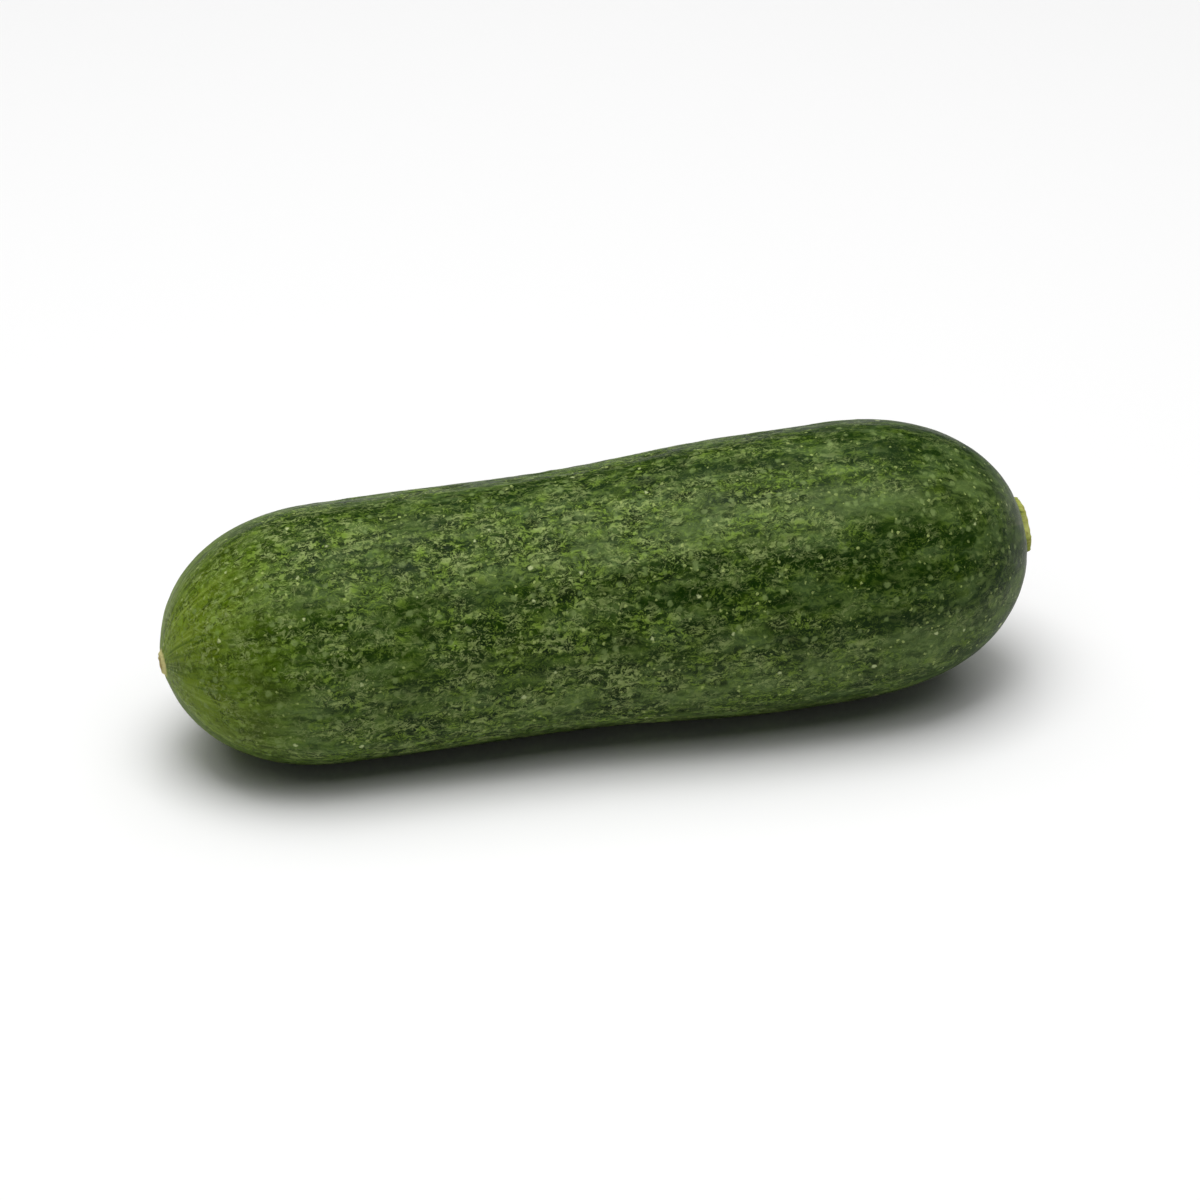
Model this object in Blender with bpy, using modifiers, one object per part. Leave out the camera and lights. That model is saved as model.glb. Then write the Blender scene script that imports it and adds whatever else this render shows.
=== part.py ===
"""A whole mini cucumber, picked and lying on its belly, as one closed solid.

Metres, +Z up. X runs along the fruit from its blossom end (-X) to its stem end (+X), and the
origin is on the surface that it lies on, under the middle of its bounding box. The fruit is one
grown piece: a round body turned about X, then given the three lobes, the soft ribs and the
slightly bent ends of the real thing. The corky scar of the stem and the button that the flower
left are part of the same skin.
"""

import math

import bpy
from mathutils import Vector

# Driving dimensions, in metres.
BODY_LENGTH = 0.110  # between the tips of the two rounded ends

BLOSSOM_RADIUS = 0.0161  # at the shoulder near the blossom end
WAIST_RADIUS = 0.0161  # between the shoulders, where the body is slimmest
STEM_RADIUS = 0.01755  # at the shoulder near the stem end, the thickest place
BLOSSOM_SHOULDER = 0.024  # from the blossom end's tip to its shoulder
STEM_SHOULDER = 0.035  # from the stem end's tip to its shoulder
WAIST_PLACE = 0.43  # share of the way from one shoulder to the other
BLOSSOM_CAP = 0.021  # length over which the blossom end closes
STEM_CAP = 0.025  # and the stem end
BLOSSOM_BLUNTNESS = 2.2  # 2 closes the blossom end as an ellipse, more makes it blunter
STEM_BLUNTNESS = 2.4  # and the stem end

LOBES = 3
LOBE_HEIGHT = 0.0003  # how far the lobes stand out from a circle, and the flats go in
RIBS = 9
RIB_HEIGHT = 0.00015  # the same for the ribs and the furrows between them
BLOSSOM_BEND = 0.023  # how far from its tip the blossom end starts to bend
BLOSSOM_SHIFT = (-0.0008, -0.00045)  # how far the bend takes the tip along Y and Z
STEM_BEND = 0.035  # the same for the stem end
STEM_SHIFT = (0.00125, 0.00105)

SCAR_RADIUS = 0.0035  # the corky disc where the stem was
SCAR_RISE = 0.0005  # how far its face stands above the skin round it
SCAR_BEVEL = 0.00045  # its rounded rim
PIT_RADIUS = 0.0006  # the dimple at its centre
PIT_DEPTH = 0.0004  # how deep it goes into the disc
BUTTON_RADIUS = 0.0015  # the dry button where the flower was
BUTTON_RISE = 0.0003  # how far it stands above the skin round it
BUTTON_BEVEL = 0.00045  # its rounded rim

# Mesh density.
SIDES = 54
CAP_RINGS = 11
BODY_RINGS = 16
MERGE_DISTANCE = 1e-5

SKIN_COLOUR = (0.040, 0.075, 0.016, 1.0)
SKIN_ROUGHNESS = 0.42


def eased(start, end, share):
    """From start to end along a half cosine, as share goes from 0 to 1."""
    share = min(max(share, 0.0), 1.0)
    return start + (end - start) * (1 - math.cos(math.pi * share)) / 2


def waist_x():
    stem_shoulder_x = BODY_LENGTH - STEM_SHOULDER
    return BLOSSOM_SHOULDER + WAIST_PLACE * (stem_shoulder_x - BLOSSOM_SHOULDER)


def girth(x):
    """The body's radius at x from the blossom tip, before the ends close."""
    waist = waist_x()
    if x < waist:
        share = (x - BLOSSOM_SHOULDER) / (waist - BLOSSOM_SHOULDER)
        return eased(BLOSSOM_RADIUS, WAIST_RADIUS, share)
    share = (x - waist) / (BODY_LENGTH - STEM_SHOULDER - waist)
    return eased(WAIST_RADIUS, STEM_RADIUS, share)


def closing_angle(share, bluntness):
    """Where round the closing curve the radius is that share of the full one, from the tip."""
    return math.acos((1 - share**2) ** (1 / bluntness))


def closing(angle, bluntness):
    """(distance from the tip as a share of the cap, share of the full radius) at that angle."""
    return 1 - math.cos(angle), math.sqrt(1 - math.cos(angle) ** bluntness)


def blossom_cap():
    """(x, radius) up the blossom end, from its button's rim to the full body."""
    first = closing_angle(BUTTON_RADIUS / BLOSSOM_RADIUS, BLOSSOM_BLUNTNESS)
    for i in range(CAP_RINGS):
        depth, share = closing(first + (math.pi / 2 - first) * i / CAP_RINGS, BLOSSOM_BLUNTNESS)
        x = BLOSSOM_CAP * depth
        yield x, girth(x) * share


def stem_cap():
    """(x, radius) down the stem end, from the full body to the scar's rim."""
    last = closing_angle(SCAR_RADIUS / STEM_RADIUS, STEM_BLUNTNESS)
    for i in range(1, CAP_RINGS + 1):
        depth, share = closing(math.pi / 2 + (last - math.pi / 2) * i / CAP_RINGS, STEM_BLUNTNESS)
        x = BODY_LENGTH - STEM_CAP * depth
        yield x, girth(x) * share


def body_between_caps():
    start, end = BLOSSOM_CAP, BODY_LENGTH - STEM_CAP
    for i in range(BODY_RINGS + 1):
        x = start + (end - start) * i / BODY_RINGS
        yield x, girth(x)


def profile():
    """The turned outline as (x, radius), from the blossom tip to the stem tip."""
    cap = list(blossom_cap())
    neck = list(stem_cap())
    button_x = cap[0][0] - BUTTON_RISE
    scar_x = neck[-1][0] + SCAR_RISE
    button = [(button_x, 0.0), (button_x, BUTTON_RADIUS - BUTTON_BEVEL)]
    scar = [
        (scar_x, SCAR_RADIUS - SCAR_BEVEL),
        (scar_x, PIT_RADIUS),
        (scar_x - PIT_DEPTH, 0.0),
    ]
    return button + cap + list(body_between_caps()) + neck + scar


def turned_mesh():
    """The fruit as if it had grown round and straight, with a facet's middle underneath."""
    turn = math.pi / SIDES
    points = [(x, radius * math.sin(turn), radius * math.cos(turn)) for x, radius in profile()]
    edges = [(i, i + 1) for i in range(len(points) - 1)]
    outline = bpy.data.meshes.new("outline")
    outline.from_pydata(points, edges, [])
    turned = bpy.data.objects.new("outline", outline)
    bpy.context.scene.collection.objects.link(turned)

    screw = turned.modifiers.new("turn", "SCREW")
    screw.axis = "X"
    screw.angle = 2 * math.pi
    screw.steps = SIDES
    screw.render_steps = SIDES
    screw.use_merge_vertices = True
    screw.merge_threshold = MERGE_DISTANCE
    screw.use_normal_flip = True

    graph = bpy.context.evaluated_depsgraph_get()
    mesh = bpy.data.meshes.new_from_object(turned.evaluated_get(graph))
    bpy.data.objects.remove(turned)
    bpy.data.meshes.remove(outline)
    return mesh


def centreline(x):
    """The fruit's centre at x, climbing so that both shoulders rest level, its ends bent aside."""
    climb = (STEM_RADIUS - BLOSSOM_RADIUS) / (BODY_LENGTH - STEM_SHOULDER - BLOSSOM_SHOULDER)
    centre = Vector((x, 0, climb * x))
    to_blossom = max(0.0, 1 - x / BLOSSOM_BEND)
    to_stem = max(0.0, 1 - (BODY_LENGTH - x) / STEM_BEND)
    centre.yz += Vector(BLOSSOM_SHIFT) * to_blossom**2
    centre.yz += Vector(STEM_SHIFT) * to_stem**2
    return centre


def swell(y, z):
    """How much the lobes and ribs widen the round section at (y, z); a flat is underneath."""
    angle = math.atan2(y, -z)
    height = LOBE_HEIGHT * math.cos(LOBES * angle) + RIB_HEIGHT * math.cos(RIBS * angle)
    return 1 - height / STEM_RADIUS


def grown(point):
    """A point of the turned body moved to where it is on the lobed, ribbed and bent fruit."""
    step = BODY_LENGTH / 1000
    along = (centreline(point.x + step) - centreline(point.x - step)).normalized()
    sideways = Vector((0, 0, 1)).cross(along).normalized()
    upward = along.cross(sideways)
    offset = sideways * point.y + upward * point.z
    return centreline(point.x) + offset * swell(point.y, point.z)


def set_down(mesh):
    """Rests the mesh on Z = 0, with the middle of its bounding box over the origin."""
    low = [min(v.co[axis] for v in mesh.vertices) for axis in range(3)]
    high = [max(v.co[axis] for v in mesh.vertices) for axis in range(3)]
    shift = Vector((-(low[0] + high[0]) / 2, -(low[1] + high[1]) / 2, -low[2]))
    for vertex in mesh.vertices:
        vertex.co += shift


def skin_material():
    material = bpy.data.materials.new("skin")
    material.use_nodes = True
    shader = material.node_tree.nodes["Principled BSDF"]
    shader.inputs["Base Color"].default_value = SKIN_COLOUR
    shader.inputs["Roughness"].default_value = SKIN_ROUGHNESS
    shader.inputs["Metallic"].default_value = 0.0
    return material


def make_cucumber(collection):
    mesh = turned_mesh()
    mesh.name = "cucumber"
    for vertex in mesh.vertices:
        vertex.co = grown(vertex.co)
    set_down(mesh)
    mesh.shade_smooth()
    mesh.materials.append(skin_material())
    collection.objects.link(bpy.data.objects.new("cucumber", mesh))


def main():
    for leftover in list(bpy.data.objects):
        bpy.data.objects.remove(leftover)
    collection = bpy.data.collections.new("cucumber")
    bpy.context.scene.collection.children.link(collection)
    make_cucumber(collection)


main()
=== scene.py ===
"""The looks of the mini cucumber: its grown skin, with relief in the mesh and colour in the nodes.

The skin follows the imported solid's shape, in the same frame: metres, +Z up, +X towards the stem
end. Patterns are laid out in millimetres over the skin.
"""

import itertools
import math

import bpy
import numpy as np
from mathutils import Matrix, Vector


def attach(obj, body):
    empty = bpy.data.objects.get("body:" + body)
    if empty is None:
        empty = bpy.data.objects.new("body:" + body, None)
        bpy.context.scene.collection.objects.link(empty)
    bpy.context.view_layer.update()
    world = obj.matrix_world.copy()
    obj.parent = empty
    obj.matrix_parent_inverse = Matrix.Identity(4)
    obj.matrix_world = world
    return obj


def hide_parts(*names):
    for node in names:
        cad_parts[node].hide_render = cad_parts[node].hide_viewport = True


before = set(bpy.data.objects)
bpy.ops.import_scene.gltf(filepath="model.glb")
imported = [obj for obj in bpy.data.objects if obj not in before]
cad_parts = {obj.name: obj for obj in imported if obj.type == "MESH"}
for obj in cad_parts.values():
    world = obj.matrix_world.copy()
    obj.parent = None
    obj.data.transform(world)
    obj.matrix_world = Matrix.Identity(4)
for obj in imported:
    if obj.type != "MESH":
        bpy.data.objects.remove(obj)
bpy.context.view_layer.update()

MM = 0.001

# The body's form in millimetres, as the CAD has it.
BODY_LENGTH = 110.0
BLOSSOM_RADIUS, WAIST_RADIUS, STEM_RADIUS = 16.1, 16.1, 17.55
BLOSSOM_SHOULDER, STEM_SHOULDER, WAIST_PLACE = 24.0, 35.0, 0.43
BLOSSOM_CAP, STEM_CAP = 21.0, 25.0
BLOSSOM_BLUNTNESS, STEM_BLUNTNESS = 2.2, 2.4
LOBES, LOBE_HEIGHT = 3, 0.3
RIBS, RIB_HEIGHT = 9, 0.15
BLOSSOM_BEND, BLOSSOM_SHIFT = 23.0, (0.0, -0.8, -0.45)
STEM_BEND, STEM_SHIFT = 35.0, (0.0, 1.25, 1.05)
SCAR_RADIUS, SCAR_RISE = 3.5, 0.5
BUTTON_RADIUS, BUTTON_RISE = 1.5, 0.3
SCAR_REACH, BUTTON_REACH = 9.0, 7.0  # how far over the skin their relief goes
SCAR_CALM, BUTTON_CALM = 7.0, 5.0  # and where the skin's own relief has faded in
CIRCLE = 3.0  # the radius of the circle on which the ends' ragged edges are laid out

# The skin's mesh, its patterns and its flat map.
RINGS, COLUMNS = 352, 272  # the rings without the two tips, and the points round each
OUTLINE_STEPS = 900  # along each of the outline's three stretches
RING_STEPS = 4000  # along the outline, for spacing the rings
AXIS_STEP = 0.1  # either way along the body, for the direction of its centreline
SKIN_RADIUS = 16.5  # the patterns are laid out as if the skin were a tube this wide
BANDS_OF_LIGHT_AND_SHADE = 5  # paler bands running lengthwise, with dark ones between: the skin's faint banding, with painted sheen on the pale ones and painted shade on the dark ones
CAP_MAP = 17.0  # how far from each tip the map's end discs reach
MAP_EDGE, MAP_FAR_EDGE = 1.5, 2.0  # clear space at the map's near edges and its far one
MAP_GAP, DISC_GAP = 2.5, 3.5  # clear space beside the strip, and between the discs

# The skin's gloss.
SKIN_IOR, SKIN_SPECULAR = 1.42, 0.09

# The studio, in metres: the floor, the light from all round, and where the lights and the camera
# look. The view is VIEW_WIDTH wide at the fruit.
FLOOR_SIZE, FLOOR_GREY, SKY_STRENGTH = 6.0, 0.86, 0.08
LIT_PLACE, SEEN_PLACE = Vector((0, 0, 0.015)), Vector((0, 0, 0.016))
CAMERA_AZIMUTH, CAMERA_ELEVATION = math.radians(-12.5), math.radians(31)
CAMERA_DISTANCE, VIEW_WIDTH = 0.56, 0.150
SENSOR_WIDTH = 36.0  # in millimetres


# Noise, all of it repeatable: the large numbers only scramble the cells.

CELL_FACTORS = (73856093, 19349663, 83492791)
SEED_FACTOR = 50331653
MIX_FACTORS = (1274126177, 2246822519)
LOW_BITS, KEPT_BITS = 0xFFFFFFFF, 0xFFFFFF


def lattice(cells, seed):
    """A number from 0 to 1 for each whole-numbered cell."""
    x, y, z = (cells[..., i].astype(np.int64) * CELL_FACTORS[i] for i in range(3))
    mixed = x ^ y ^ z ^ (seed * SEED_FACTOR)
    mixed = ((mixed ^ (mixed >> 13)) * MIX_FACTORS[0]) & LOW_BITS
    mixed = ((mixed ^ (mixed >> 15)) * MIX_FACTORS[1]) & LOW_BITS
    return ((mixed ^ (mixed >> 16)) & KEPT_BITS) / KEPT_BITS


def noise(points, size, seed):
    """Smooth lumps about size across, from -1 to 1."""
    spot = points / size
    cell = np.floor(spot)
    part = spot - cell
    part = part * part * (3 - 2 * part)
    total = 0
    for corner in itertools.product((0, 1), repeat=3):
        corner = np.array(corner)
        weight = np.where(corner == 1, part, 1 - part).prod(-1)
        total = total + weight * lattice(cell + corner, seed)
    return 2 * total - 1


def spots(points, size, seed):
    """One random spot in each cell: how far, in cells, the nearest is, then the next nearest,
    with a number from 0 to 1 that is the nearest spot's own."""
    spot = points / size
    cell = np.floor(spot)
    nearest = np.full(spot.shape[:-1], np.inf)
    second = nearest.copy()
    own = np.zeros(spot.shape[:-1])
    for corner in itertools.product((-1, 0, 1), repeat=3):
        near = cell + np.array(corner)
        place = near + np.stack([lattice(near, seed + i) for i in range(3)], -1)
        gap = np.linalg.norm(spot - place, axis=-1)
        closer = gap < nearest
        second = np.where(closer, nearest, np.minimum(second, gap))
        own = np.where(closer, lattice(near, seed + 7), own)
        nearest = np.where(closer, gap, nearest)
    return nearest, second, own


def ramp(value, start, end):
    """From 0 at start to 1 at end, smoothly."""
    share = np.clip((value - start) / (end - start), 0, 1)
    return share * share * (3 - 2 * share)


def hill(value, middle, width):
    """1 at the middle, falling away smoothly on both sides."""
    return np.exp(-(((value - middle) / width) ** 2))


# The body's form.


def girth(x):
    """The body's radius at x from the blossom tip, before the ends close."""
    stem_shoulder = BODY_LENGTH - STEM_SHOULDER
    waist = BLOSSOM_SHOULDER + WAIST_PLACE * (stem_shoulder - BLOSSOM_SHOULDER)
    before = np.clip((x - BLOSSOM_SHOULDER) / (waist - BLOSSOM_SHOULDER), 0, 1)
    after = np.clip((x - waist) / (stem_shoulder - waist), 0, 1)
    thinner = (WAIST_RADIUS - BLOSSOM_RADIUS) * (1 - np.cos(np.pi * before)) / 2
    thicker = (STEM_RADIUS - WAIST_RADIUS) * (1 - np.cos(np.pi * after)) / 2
    return BLOSSOM_RADIUS + thinner + thicker


def outline():
    """(distance over the skin, x, radius) at many places from the blossom tip to the stem tip."""
    quarter = np.linspace(0, np.pi / 2, OUTLINE_STEPS)
    first = BLOSSOM_CAP * (1 - np.cos(quarter))
    last = BODY_LENGTH - STEM_CAP * (1 - np.cos(quarter[::-1]))
    middle = np.linspace(BLOSSOM_CAP, BODY_LENGTH - STEM_CAP, OUTLINE_STEPS)[1:-1]
    x = np.concatenate([first, middle, last])
    blossom = np.sqrt(1 - np.cos(quarter) ** BLOSSOM_BLUNTNESS)
    stem = np.sqrt(1 - np.cos(quarter[::-1]) ** STEM_BLUNTNESS)
    radius = girth(x) * np.concatenate([blossom, np.ones(len(middle)), stem])
    steps = np.hypot(np.diff(x), np.diff(radius))
    return np.concatenate([[0], np.cumsum(steps)]), x, radius


def centreline(x):
    """The fruit's centre at x, climbing so that both shoulders rest level, its ends bent aside."""
    climb = (STEM_RADIUS - BLOSSOM_RADIUS) / (BODY_LENGTH - STEM_SHOULDER - BLOSSOM_SHOULDER)
    to_blossom = np.maximum(0, 1 - x / BLOSSOM_BEND) ** 2
    to_stem = np.maximum(0, 1 - (BODY_LENGTH - x) / STEM_BEND) ** 2
    bent = np.outer(to_blossom, BLOSSOM_SHIFT) + np.outer(to_stem, STEM_SHIFT)
    return np.stack([x, 0 * x, climb * x], -1) + bent


def ring_places(total):
    """Distances over the skin for the rings, closer together round the scar and the button."""
    s = np.linspace(0, total, RING_STEPS)
    fine_stem, fine_blossom = 1 - ramp(total - s, 4.5, 9), 1 - ramp(s, 2.5, 6)
    density = 1 + 2.2 * fine_stem + 1.4 * fine_blossom
    reached = np.concatenate([[0], np.cumsum((density[1:] + density[:-1]) / 2)])
    return np.interp(np.linspace(0, reached[-1], RINGS + 2), reached, s)


def unit(vectors):
    return vectors / np.linalg.norm(vectors, axis=-1, keepdims=True)


def grown_body():
    """The smooth body as rings of points, with each point's outward direction and where it is on
    the skin: its distance from the blossom tip, its angle from underneath, and the solid place
    it would have if the body were straight."""
    distance, xs, radii = outline()
    s = ring_places(distance[-1])
    x, radius = np.interp(s, distance, xs), np.interp(s, distance, radii)
    angle = np.arange(COLUMNS) * 2 * np.pi / COLUMNS
    ring, turn = np.meshgrid(np.arange(len(s)), angle, indexing="ij")

    along = unit(centreline(x + AXIS_STEP) - centreline(x - AXIS_STEP))
    sideways = unit(np.cross([0, 0, 1], along))
    upward = np.cross(along, sideways)
    height = LOBE_HEIGHT * np.cos(LOBES * turn) + RIB_HEIGHT * np.cos(RIBS * turn)
    reach = radius[ring] * (1 - height / STEM_RADIUS)
    points = (
        centreline(x)[ring]
        + sideways[ring] * (reach * np.sin(turn))[..., None]
        - upward[ring] * (reach * np.cos(turn))[..., None]
    )
    down_the_body = np.gradient(points, axis=0)
    round_the_body = (np.roll(points, -1, 1) - np.roll(points, 1, 1)) / 2
    out = np.cross(round_the_body, down_the_body)
    out[0], out[-1] = -along[0], along[-1]
    out = unit(out)
    straight = np.stack([x[ring], radius[ring] * np.sin(turn), -radius[ring] * np.cos(turn)], -1)
    return points, out, s, s[ring], turn, straight


# What the skin has on it, in millimetres of height.


def on_circle(turn):
    """A place on a small circle, for noise that changes only with the way round the fruit."""
    return np.stack([CIRCLE * np.sin(turn), CIRCLE * np.cos(turn), 0 * turn], -1)


def scar_height(rho, turn, straight):
    """The corky disc where the stem was: a ragged raised rim, a dished face, a central pit."""
    round_it = on_circle(turn)
    rim = SCAR_RADIUS + 0.28 * noise(round_it, 1.3, 31) + 0.12 * noise(round_it, 0.5, 32)
    face = SCAR_RISE * (1 - ramp(rho, rim - 0.25, rim + 0.35))
    lip = 0.22 * hill(rho, rim - 0.35, 0.35)
    dish = -0.3 * (1 - ramp(rho, 0.6, rim - 0.3))
    pit = -0.25 * (1 - ramp(rho, 0.25, 0.8))
    nearest, _, own = spots(straight, 1.15, 33)
    strands = 0.16 * (1 - ramp(nearest, 0.12, 0.34)) * (own > 0.35)
    crumble = 0.07 * noise(straight, 0.5, 34)
    gather = 0.1 * noise(round_it, 0.42, 35) * hill(rho, rim + 0.9, 0.9)
    sink = -0.15 * hill(rho, rim + 0.8, 0.8)
    inside = 1 - ramp(rho, rim - 0.3, rim + 0.1)
    return face + lip + dish + pit + inside * (strands + crumble) + gather + sink


def button_height(rho, turn, straight):
    """The dry button where the flower was, with the skin puckered round it."""
    round_it = on_circle(turn)
    rim = BUTTON_RADIUS + 0.2 * noise(round_it, 1.5, 41)
    face = BUTTON_RISE * (1 - ramp(rho, rim - 0.35, rim + 0.2))
    pit = -0.3 * (1 - ramp(rho, 0.2, 0.9))
    crumble = 0.08 * noise(straight, 0.4, 42) * (1 - ramp(rho, rim - 0.2, rim + 0.2))
    pucker = 0.07 * noise(round_it, 0.6, 43) * hill(rho, 2.6, 1.6)
    return face + pit + crumble + pucker


def skin_relief(s, total, straight):
    """(height, how deep in a pit) of the skin: lumps all over, and pits that are deepest and
    closest together round the middle."""
    lengthwise = straight * [0.55, 1, 1]
    rough = 0.22 + 0.78 * hill(s / total, 0.5, 0.24)
    lumps = 0.13 * noise(straight, 15, 1) + 0.07 * noise(lengthwise, 5.5, 2)
    small = 0.045 * noise(lengthwise, 1.9, 3) + 0.03 * noise(lengthwise, 1.0, 4)
    bent = lengthwise + 0.5 * np.stack([noise(straight, 2.4, 5 + i) for i in range(3)], -1)
    nearest, second, own = spots(bent, 2.3, 11)
    pit = (1 - ramp(nearest, 0.16, 0.52)) * ramp(own, 0.35, 0.6)
    net = hill(second - nearest, 0, 0.16)
    height = lumps + rough * (small - 0.14 * pit + 0.05 * net)
    return height, pit * rough


def face_corners(ring, column):
    """The corners of a face as (ring, column), which make a triangle at either tip."""
    if ring == 0:
        return (0, column), (1, column + 1), (1, column)
    if ring == RINGS:
        return (ring, column), (ring, column + 1), (ring + 1, column)
    return (ring, column), (ring, column + 1), (ring + 1, column + 1), (ring + 1, column)


def faces():
    """Every face's corners, in the mesh's order."""
    for ring in range(RINGS + 1):
        for column in range(COLUMNS):
            yield face_corners(ring, column)


def vertex_at(ring, column):
    """Which vertex is at that corner: the first and last rings are one point each, the tips."""
    if ring == 0:
        return 0
    if ring > RINGS:
        return 1 + RINGS * COLUMNS
    return 1 + (ring - 1) * COLUMNS + column % COLUMNS


def by_vertex(field):
    """What a field over the rings holds, one row for each vertex of the mesh."""
    return np.concatenate([field[:1, 0], *field[1:-1], field[-1:, 0]])


def skin_mesh():
    """The skin's mesh, and how far it is over the skin from tip to tip in millimetres."""
    points, out, places, s, turn, straight = grown_body()
    total = places[-1]
    height, pit = skin_relief(s, total, straight)
    calm = ramp(total - s, SCAR_RADIUS, SCAR_CALM) * ramp(s, BUTTON_RADIUS, BUTTON_CALM)
    height = height * calm
    height = height + scar_height(total - s, turn, straight) * (total - s < SCAR_REACH)
    height = height + button_height(s, turn, straight) * (s < BUTTON_REACH)
    points = points + out * height[..., None]
    centre = (points.min((0, 1)) + points.max((0, 1))) / 2
    points = points - [centre[0], centre[1], points[..., 2].min()]

    mesh = bpy.data.meshes.new("cucumber_skin")
    corners = [[vertex_at(*corner) for corner in face] for face in faces()]
    mesh.from_pydata((by_vertex(points) * MM).tolist(), [], corners)
    lay_out(mesh, s, turn, pit)
    map_skin(mesh, places)
    mesh.shade_smooth()
    return mesh, total


def lay_out(mesh, s, turn, pit):
    """Stores where each point is on the skin, in millimetres, and how deep it is in a pit."""
    tube = np.stack([s, SKIN_RADIUS * np.sin(turn), -SKIN_RADIUS * np.cos(turn)], -1)
    skin = mesh.attributes.new("skin", "FLOAT_VECTOR", "POINT")
    skin.data.foreach_set("vector", by_vertex(tube).astype(np.float32).ravel())
    deep = mesh.attributes.new("pit", "FLOAT", "POINT")
    deep.data.foreach_set("value", by_vertex(pit).astype(np.float32))


def map_skin(mesh, places):
    """A flat map of the skin: the body unrolled in one strip, cut open along the underside, and
    the two ends as discs beside it."""
    total = places[-1]
    girdle = 2 * math.pi * SKIN_RADIUS
    first_strip = int(np.searchsorted(places, CAP_MAP))
    last_strip = int(np.searchsorted(places, total - CAP_MAP))
    disc_x = MAP_EDGE + total - 2 * CAP_MAP + MAP_GAP + CAP_MAP
    blossom_y = MAP_EDGE + CAP_MAP
    stem_y = blossom_y + 2 * CAP_MAP + DISC_GAP
    across = disc_x + CAP_MAP + MAP_FAR_EDGE

    def on_disc(rho, column, middle):
        turn = column * 2 * math.pi / COLUMNS
        return disc_x + rho * math.sin(turn), middle + rho * math.cos(turn)

    def on_map(face_ring, ring, column):
        if face_ring < first_strip:
            return on_disc(places[ring], column, blossom_y)
        if face_ring >= last_strip:
            return on_disc(total - places[ring], column, stem_y)
        return places[ring] - CAP_MAP + MAP_EDGE, column / COLUMNS * girdle + MAP_EDGE

    flat = [on_map(face[0][0], *corner) for face in faces() for corner in face]
    layer = mesh.uv_layers.new(name="OFBake")
    layer.data.foreach_set("uv", (np.array(flat) / across).astype(np.float32).ravel())


# Materials.


def shade(red, green, blue):
    """A screen colour, each part from 0 to 255, as the linear one that the nodes work in."""
    parts = [c / 255 for c in (red, green, blue)]
    return (*[c / 12.92 if c <= 0.04045 else ((c + 0.055) / 1.055) ** 2.4 for c in parts], 1.0)


class Nodes:
    """Short calls that make a material's nodes."""

    def __init__(self, name):
        self.material = bpy.data.materials.new(name)
        self.material.use_nodes = True
        self.tree = self.material.node_tree
        self.shader = self.tree.nodes["Principled BSDF"]

    def put(self, socket, value):
        if isinstance(value, bpy.types.NodeSocket):
            self.tree.links.new(value, socket)
        else:
            socket.default_value = value

    def make(self, kind, inputs, output=0, **settings):
        node = self.tree.nodes.new("ShaderNode" + kind)
        for name, value in settings.items():
            setattr(node, name, value)
        for key, value in inputs.items():
            self.put(node.inputs[key], value)
        return node.outputs[output]

    def math(self, operation, first, second=0.0):
        return self.make("Math", {0: first, 1: second}, operation=operation)

    def times(self, first, second):
        return self.math("MULTIPLY", first, second)

    def plus(self, first, second):
        return self.math("ADD", first, second)

    def scaled(self, vector, by):
        by = (by, by, by) if isinstance(by, (int, float)) else by
        return self.make("VectorMath", {0: vector, 1: by}, operation="MULTIPLY")

    def shifted(self, vector, by):
        return self.make("VectorMath", {0: vector, 1: by}, operation="ADD")

    def ramp(self, value, start, end, low=0.0, high=1.0):
        """From low at start to high at end, smoothly."""
        inputs = {"Value": value, "From Min": start, "From Max": end, "To Min": low, "To Max": high}
        if start > end:
            inputs.update({"From Min": end, "From Max": start, "To Min": high, "To Max": low})
        return self.make("MapRange", inputs, interpolation_type="SMOOTHSTEP")

    def noise(self, vector, per_mm, detail=2.0, roughness=0.5, output="Fac"):
        """Smooth lumps, from 0 to 1 and mostly near a half; the output Color has one per axis."""
        inputs = {"Vector": vector, "Scale": per_mm, "Detail": detail, "Roughness": roughness}
        return self.make("TexNoise", inputs, output=output)

    def drawn_noise(self, vector, per_mm, detail=2.0, roughness=0.5, offset=(0, 0, 0)):
        """The same, drawn out: per_mm says how many lumps a millimetre has along each axis."""
        place = self.shifted(self.scaled(vector, per_mm), offset)
        return self.noise(place, 1.0, detail, roughness)

    def wandered(self, vector, per_mm, detail, reach):
        """The place moved about by noise, by up to about half of reach each way."""
        wander = self.noise(vector, per_mm, detail, output="Color")
        return self.shifted(vector, self.scaled(self.shifted(wander, (-0.5, -0.5, -0.5)), reach))

    def mix(self, share, first, second):
        inputs = {0: share, 6: first, 7: second}
        return self.make("Mix", inputs, output=2, data_type="RGBA", blend_type="MIX")

    def tinted(self, colour, pattern, start, end, most, tint):
        """The colour, which takes on the tint as the pattern goes from start to end."""
        return self.mix(self.ramp(pattern, start, end, 0.0, most), colour, tint)

    def bands(self, value, stops):
        """A colour for each value from 0 to 1, through stops of (place, colour)."""
        node = self.tree.nodes.new("ShaderNodeValToRGB")
        node.color_ramp.interpolation = "EASE"
        elements = node.color_ramp.elements
        for place, colour in stops[2:]:
            elements.new(place)
        for element, (place, colour) in zip(elements, stops):
            element.position, element.color = place, colour
        self.put(node.inputs[0], value)
        return node.outputs[0]


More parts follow.
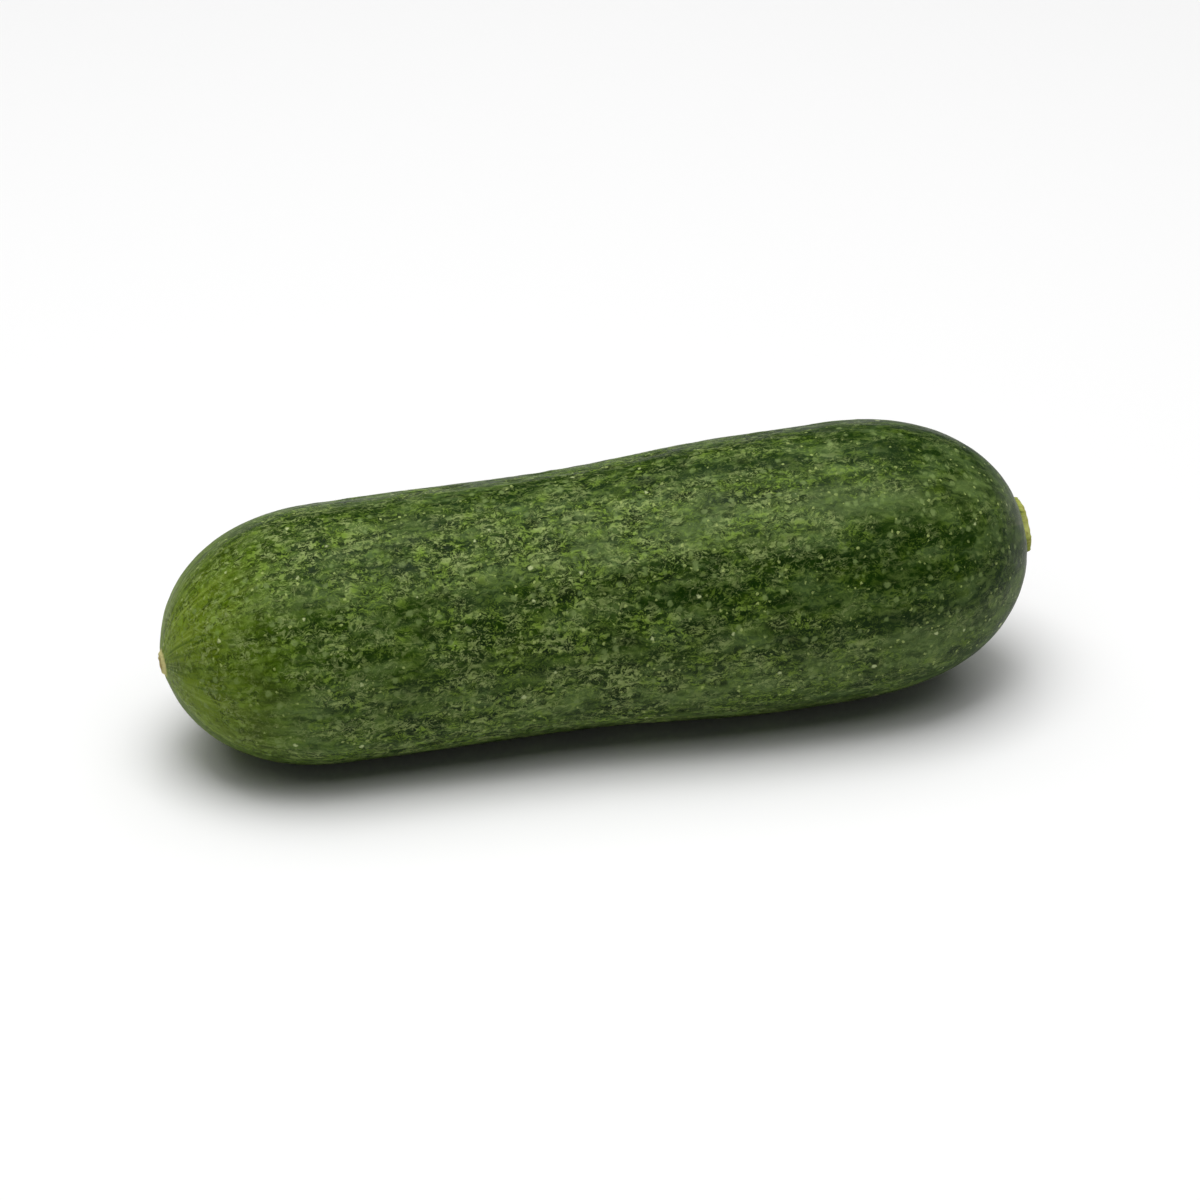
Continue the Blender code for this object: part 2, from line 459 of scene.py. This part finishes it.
class Place:
    """Where a point of the skin is, as sockets for the patterns to use, in millimetres: on the
    unrolled skin and in space, from either end, in the lengthwise bands (the band value is high in
    the pale ones, which carry painted sheen, and low in the dark ones, which carry painted shade),
    and how strong the markings are there (lively, and marked with its patches)."""

    def __init__(self, n, total):
        self.skin = n.make("Attribute", {}, output="Vector", attribute_name="skin")
        self.solid = n.scaled(n.make("TexCoord", {}, output="Object"), 1 / MM)
        along, across, up = (n.make("SeparateXYZ", {0: self.skin}, output=i) for i in range(3))
        self.from_blossom = along
        self.from_stem = n.math("SUBTRACT", total, along)
        self.share = n.math("DIVIDE", along, total)
        self.swirled = n.wandered(self.solid, 0.6, 3.0, 1.8)
        self.speckled = n.wandered(self.solid, 2.5, 2.0, 0.5)

        # The lengthwise bands: the skin's faint banding, with painted sheen on the pale ones and
        # painted shade on the dark ones. They are turned so that a pale band runs along the upper
        # front, and dark ones run along the top and the lower front.
        wobble = n.drawn_noise(self.skin, (0.025, 0.06, 0.06), 3.0, 0.6)
        turn = n.times(n.math("ARCTAN2", across, n.times(up, -1.0)), BANDS_OF_LIGHT_AND_SHADE)
        turn = n.plus(turn, n.times(n.plus(wobble, -0.5), 4.0))
        streaks = n.drawn_noise(self.skin, (0.014, 0.22, 0.22), 4.0, 0.65)
        strength = n.ramp(self.share, 0.3, 0.8, 0.10, 0.16)
        strength = n.times(strength, n.ramp(self.share, 1.02, 0.84, 0.4, 1.0))
        self.band_light_and_shade = n.plus(n.times(n.math("COSINE", turn), strength), streaks)

        blossom_half = n.ramp(self.share, 0.02, 0.3, 0.75, 1.0)
        self.lively = n.times(blossom_half, n.ramp(self.share, 0.96, 0.5, 0.3, 1.0))
        patches = n.drawn_noise(self.solid, (0.13, 0.24, 0.24), 3.0, 0.6)
        patches = n.ramp(patches, 0.36, 0.6, 0.3, 1.0)
        # The markings are stronger on the pale bands, which carry painted sheen.
        patches = n.times(patches, n.ramp(self.band_light_and_shade, 0.3, 0.56, 0.6, 1.0))
        self.marked = n.times(self.lively, patches)


def ground_colour(n, at):
    """The broad colours: along the fruit, in bands round it with painted sheen on the pale ones and
    painted shade on the dark ones, in soft clouds, clumps and veins, yellower towards the blossom
    end, and with painted shade in the pits. With them come the roughness and how deep in a pit it
    is."""
    colour = n.bands(
        at.share,
        [
            (0.0, shade(84, 108, 0)),
            (0.13, shade(62, 90, 0)),
            (0.3, shade(45, 70, 4)),
            (0.6, shade(43, 66, 6)),
            (0.78, shade(36, 60, 4)),
            (0.9, shade(36, 57, 6)),
            (1.0, shade(44, 58, 16)),
        ],
    )
    # Painted sheen on the pale bands and painted shade on the dark ones.
    colour = n.tinted(colour, at.band_light_and_shade, 0.48, 0.68, 0.85, shade(86, 106, 56))
    colour = n.tinted(colour, at.band_light_and_shade, 0.54, 0.34, 0.85, shade(17, 43, 0))

    clouds = n.drawn_noise(at.swirled, (0.12, 0.29, 0.29), 3.0, 0.6)
    colour = n.tinted(colour, clouds, 0.48, 0.68, 0.65, shade(84, 106, 58))
    colour = n.tinted(colour, clouds, 0.52, 0.32, 0.8, shade(14, 36, 0))
    clumps = n.drawn_noise(at.swirled, (0.27, 0.68, 0.68), 3.0, 0.65, (9, 1, 4))
    sunk = n.times(n.ramp(clumps, 0.51, 0.36, 0.0, 0.65), at.lively)
    colour = n.mix(sunk, colour, shade(12, 36, 0))
    risen = n.times(n.ramp(clumps, 0.52, 0.67, 0.0, 0.5), at.lively)
    colour = n.mix(risen, colour, shade(90, 112, 50))
    veins = n.drawn_noise(at.swirled, (0.1, 0.8, 0.8), 3.0, 0.6, (2, 7, 6))
    colour = n.tinted(colour, veins, 0.5, 0.37, 0.6, shade(14, 38, 0))
    colour = n.tinted(colour, veins, 0.53, 0.66, 0.45, shade(92, 114, 54))
    warm = n.drawn_noise(at.solid, (0.24, 0.36, 0.36), 4.0, 0.7, (3, 8, 5))
    colour = n.tinted(colour, warm, 0.54, 0.72, 0.3, shade(86, 110, 16))

    # Yellower towards the blossom end, which is the skin's own colour, and more so on the pale
    # bands with their painted sheen.
    ripe = n.times(n.ramp(at.from_blossom, 26.0, 2.0), n.ramp(at.band_light_and_shade, 0.35, 0.6, 0.4, 1.0))
    colour = n.mix(n.times(ripe, 0.72), colour, shade(124, 148, 14))
    pit = n.make("Attribute", {}, output="Fac", attribute_name="pit")
    # Painted shade in the pits: the deeper in a pit, the darker the skin is painted.
    colour = n.tinted(colour, pit, 0.1, 0.8, 0.7, shade(14, 30, 0))
    return colour, n.ramp(clouds, 0.35, 0.65, 0.38, 0.5), pit


def strokes(n, at, per_mm, offset, turned=(0, 0, 0)):
    """Fibrous strokes, long and thin, in one direction: a number that is high on them."""
    inputs = {"Vector": at.swirled, "Rotation": turned}
    along = n.make("VectorRotate", inputs, rotation_type="EULER_XYZ")
    return n.drawn_noise(along, per_mm, offset=offset)


def threads(n, at, per_mm, offset):
    """Thin broken threads that wander over the skin: a number that is 1 on them."""
    place = n.shifted(n.scaled(at.swirled, per_mm), offset)
    off = n.math("ABSOLUTE", n.math("SUBTRACT", n.noise(place, 1.0, 2.0, 0.6), 0.5))
    broken = n.ramp(n.noise(n.shifted(place, (20, 0, 0)), 0.9, 2.0, 0.6), 0.46, 0.6)
    return n.times(n.ramp(off, 0.045, 0.005), broken)


def fibres(n, at, colour):
    """Fine fibrous flecks, mostly lengthwise: dark gaps between pale strokes, and thin threads.
    With the colour come how dark and how pale a mark it is."""
    gap_green = shade(10, 30, 0)
    lengthwise = strokes(n, at, (0.5, 1.75, 1.75), (0, 0, 0))
    finer = strokes(n, at, (0.9, 2.3, 2.3), (5, 5, 8))
    slanting = strokes(n, at, (0.7, 1.9, 1.9), (7, 3, 1), (0.3, 0.8, 0.5))
    crossing = strokes(n, at, (0.7, 1.9, 1.9), (2, 9, 4), (-0.4, -0.9, -0.6))

    gaps = n.plus(n.times(lengthwise, 0.5), n.times(finer, 0.5))
    dark = n.times(n.ramp(gaps, 0.48, 0.4), at.marked)
    colour = n.mix(n.times(dark, 0.82), colour, gap_green)
    pale = n.math("MAXIMUM", n.ramp(slanting, 0.59, 0.68), n.ramp(crossing, 0.59, 0.68))
    pale = n.times(n.math("MAXIMUM", n.ramp(lengthwise, 0.56, 0.66), pale), at.marked)
    warmth = n.ramp(n.noise(at.solid, 0.4, 2.0), 0.35, 0.65)
    tint = n.mix(warmth, shade(120, 148, 54), shade(148, 164, 100))
    colour = n.mix(n.times(pale, 0.78), colour, tint)

    gap = n.times(threads(n, at, (0.9, 1.5, 1.5), (11, 5, 3)), at.marked)
    colour = n.mix(n.times(gap, 0.8), colour, gap_green)
    thread = threads(n, at, (0.8, 1.6, 1.6), (1, 6, 9))
    thread = n.math("MAXIMUM", thread, threads(n, at, (1.3, 2.3, 2.3), (4, 2, 5)))
    thread = n.times(thread, at.marked)
    colour = n.mix(n.times(thread, 0.8), colour, tint)
    return colour, n.math("MAXIMUM", dark, gap), n.math("MAXIMUM", pale, thread)


def pores(n, place, per_mm, rarity, size, soft):
    """Round dots, one in each cell whose own number is over rarity: how much of a dot is here,
    and that number. Size and soft, its edge, are in cells."""
    node = n.tree.nodes.new("ShaderNodeTexVoronoi")
    n.put(node.inputs["Vector"], place)
    n.put(node.inputs["Scale"], per_mm)
    own = n.make("SeparateColor", {0: node.outputs["Color"]}, output=0)
    reach = n.ramp(own, rarity, 1.0, -0.1, size)
    return n.ramp(n.math("SUBTRACT", node.outputs["Distance"], reach), soft, -soft), own


def with_pores(n, at, colour):
    """Pale breathing pores: soft round ones and many small ones in clusters, and a few bright
    ones all over. With the colour comes how much of a crisp pore it is."""
    clusters = n.ramp(n.drawn_noise(at.solid, 0.22, 3.0, 0.6), 0.36, 0.56, 0.35, 1.0)
    soft, own = pores(n, n.shifted(at.speckled, (4, 9, 2)), 0.85, 0.0, 0.34, 0.14)
    tint = n.mix(own, shade(90, 120, 40), shade(132, 152, 92))
    colour = n.mix(n.times(n.times(soft, clusters), 0.55), colour, tint)
    small, own = pores(n, at.speckled, 1.3, 0.4, 0.26, 0.06)
    tint = n.mix(own, shade(106, 130, 44), shade(164, 180, 106))
    colour = n.mix(n.times(n.times(small, clusters), 0.75), colour, tint)
    bright, own = pores(n, n.shifted(at.speckled, (5, 2, 8)), 0.5, 0.72, 0.15, 0.05)
    tint = n.mix(own, shade(120, 140, 70), shade(184, 196, 140))
    colour = n.mix(n.times(bright, 0.9), colour, tint)
    return colour, n.math("MAXIMUM", small, bright)


def with_ends(n, at, colour):
    """The blossom end's fine pale rays with its dry button, and the stem end's bloom with its
    corky scar. With the colour come how corky it is here, and the cork's grain."""
    broken = n.ramp(n.drawn_noise(at.skin, (0.12, 0.3, 0.3)), 0.4, 0.58, 0.1, 0.6)
    near = n.times(n.ramp(at.from_blossom, 28.0, 4.0), broken)
    rays = n.drawn_noise(at.skin, (0.06, 1.3, 1.3), 3.0, 0.6)
    colour = n.mix(n.times(n.ramp(rays, 0.47, 0.35), near), colour, shade(50, 80, 0))
    colour = n.mix(n.times(n.ramp(rays, 0.54, 0.66), near), colour, shade(146, 166, 76))
    bloom = n.times(n.ramp(at.from_stem, 17.0, 3.0), n.ramp(n.noise(at.solid, 0.5, 3.0), 0.35, 0.6))
    colour = n.mix(n.times(bloom, 0.6), colour, shade(70, 84, 56))

    tube = n.scaled(at.skin, (0.0, 1.0, 1.0))
    ragged = n.math("SUBTRACT", n.noise(tube, 0.35, 3.0, 0.7), 0.5)
    rho = n.plus(at.from_stem, n.times(ragged, 1.8))
    dried = n.times(n.ramp(rho, 13.0, 6.0), n.ramp(n.noise(tube, 0.8, 3.0, 0.65), 0.5, 0.64))
    colour = n.mix(n.times(dried, 0.4), colour, shade(106, 110, 74))
    fringe = n.times(n.ramp(rho, 6.6, 4.3), n.ramp(n.noise(tube, 0.9, 2.0), 0.36, 0.56))
    colour = n.mix(n.times(fringe, 0.85), colour, shade(134, 146, 66))
    cork = n.bands(
        n.math("DIVIDE", rho, 5.0),
        [
            (0.0, shade(118, 88, 42)),
            (0.1, shade(166, 144, 84)),
            (0.35, shade(196, 188, 122)),
            (0.62, shade(178, 182, 104)),
            (0.8, shade(134, 146, 58)),
        ],
    )
    grain = n.noise(at.solid, 2.2, 3.0, 0.6)
    cork = n.tinted(cork, grain, 0.5, 0.68, 0.5, shade(138, 112, 60))
    scar = n.ramp(rho, 3.95, 3.7)
    colour = n.mix(scar, colour, cork)

    rho = n.plus(at.from_blossom, ragged)
    dry = n.bands(
        n.math("DIVIDE", rho, 3.0),
        [
            (0.0, shade(126, 102, 58)),
            (0.2, shade(164, 148, 92)),
            (0.45, shade(206, 198, 136)),
            (0.9, shade(166, 174, 88)),
        ],
    )
    button = n.ramp(rho, 2.1, 1.5)
    colour = n.mix(button, colour, dry)
    corky = n.math("MAXIMUM", scar, button)
    return colour, corky, n.times(grain, corky)


def skin_material(total):
    """The whole skin: its colour, its roughness, and the fine relief that is too small to mesh."""
    n = Nodes("cucumber_skin")
    at = Place(n, total)
    colour, rough, pit = ground_colour(n, at)
    colour, dark, pale = fibres(n, at, colour)
    colour, pore = with_pores(n, at, colour)
    colour, corky, grain = with_ends(n, at, colour)
    n.put(n.shader.inputs["Base Color"], colour)

    rough = n.plus(n.plus(rough, n.times(pale, 0.08)), n.times(pit, 0.1))
    n.put(n.shader.inputs["Roughness"], n.plus(rough, n.times(corky, 0.3)))

    fine = n.drawn_noise(at.swirled, (1.4, 2.6, 2.6), 4.0, 0.6)
    height = n.times(n.math("SUBTRACT", fine, 0.5), n.times(at.marked, 0.16))
    height = n.plus(height, n.times(pale, 0.035))
    height = n.math("SUBTRACT", height, n.times(dark, 0.05))
    height = n.plus(height, n.times(pore, 0.03))
    height = n.plus(height, n.times(grain, 0.12))
    bump = n.make("Bump", {"Height": height, "Distance": MM, "Strength": 1.0})
    n.put(n.shader.inputs["Normal"], bump)
    n.shader.inputs["IOR"].default_value = SKIN_IOR
    n.shader.inputs["Specular IOR Level"].default_value = SKIN_SPECULAR
    return n.material


def make_cucumber():
    mesh, total = skin_mesh()
    mesh.materials.append(skin_material(total))
    skin = bpy.data.objects.new("cucumber_skin", mesh)
    bpy.context.scene.collection.objects.link(skin)
    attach(skin, "root")
    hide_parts("cucumber")


# The studio.


def make_floor():
    bpy.ops.mesh.primitive_plane_add(size=FLOOR_SIZE)
    floor = bpy.context.object
    floor.name = "floor"
    n = Nodes("floor")
    n.shader.inputs["Base Color"].default_value = (FLOOR_GREY, FLOOR_GREY, FLOOR_GREY, 1.0)
    n.shader.inputs["Roughness"].default_value = 0.9
    n.shader.inputs["Specular IOR Level"].default_value = 0.2
    floor.data.materials.append(n.material)


def make_light(name, place, size, watts):
    lamp = bpy.data.lights.new(name, "AREA")
    lamp.shape = "SQUARE"
    lamp.size, lamp.energy = size, watts
    light = bpy.data.objects.new(name, lamp)
    light.location = place
    light.rotation_euler = (LIT_PLACE - Vector(place)).to_track_quat("-Z", "Y").to_euler()
    bpy.context.scene.collection.objects.link(light)


def make_world():
    world = bpy.data.worlds.new("studio")
    world.use_nodes = True
    background = world.node_tree.nodes["Background"]
    background.inputs["Color"].default_value = (1.0, 1.0, 1.0, 1.0)
    background.inputs["Strength"].default_value = SKY_STRENGTH
    bpy.context.scene.world = world


def make_camera():
    """Looks at the middle of the fruit from the front, a little round to its blossom end."""
    level = math.cos(CAMERA_ELEVATION)
    back = Vector(
        (
            math.sin(CAMERA_AZIMUTH) * level,
            -math.cos(CAMERA_AZIMUTH) * level,
            math.sin(CAMERA_ELEVATION),
        )
    )
    data = bpy.data.cameras.new("camera")
    data.sensor_width = SENSOR_WIDTH
    data.lens = SENSOR_WIDTH * CAMERA_DISTANCE / VIEW_WIDTH
    data.clip_start, data.clip_end = 0.01, 20.0
    camera = bpy.data.objects.new("camera", data)
    camera.location = SEEN_PLACE + back * CAMERA_DISTANCE
    camera.rotation_euler = (-back).to_track_quat("-Z", "Y").to_euler()
    bpy.context.scene.collection.objects.link(camera)
    bpy.context.scene.camera = camera


make_camera()
make_cucumber()
make_floor()
make_light("overhead", place=(-0.04, -0.02, 0.74), size=0.50, watts=3.4)
make_light("ceiling", place=(0.0, 0.0, 1.30), size=2.00, watts=17.0)
make_world()
bpy.context.scene.view_settings.view_transform = "Standard"
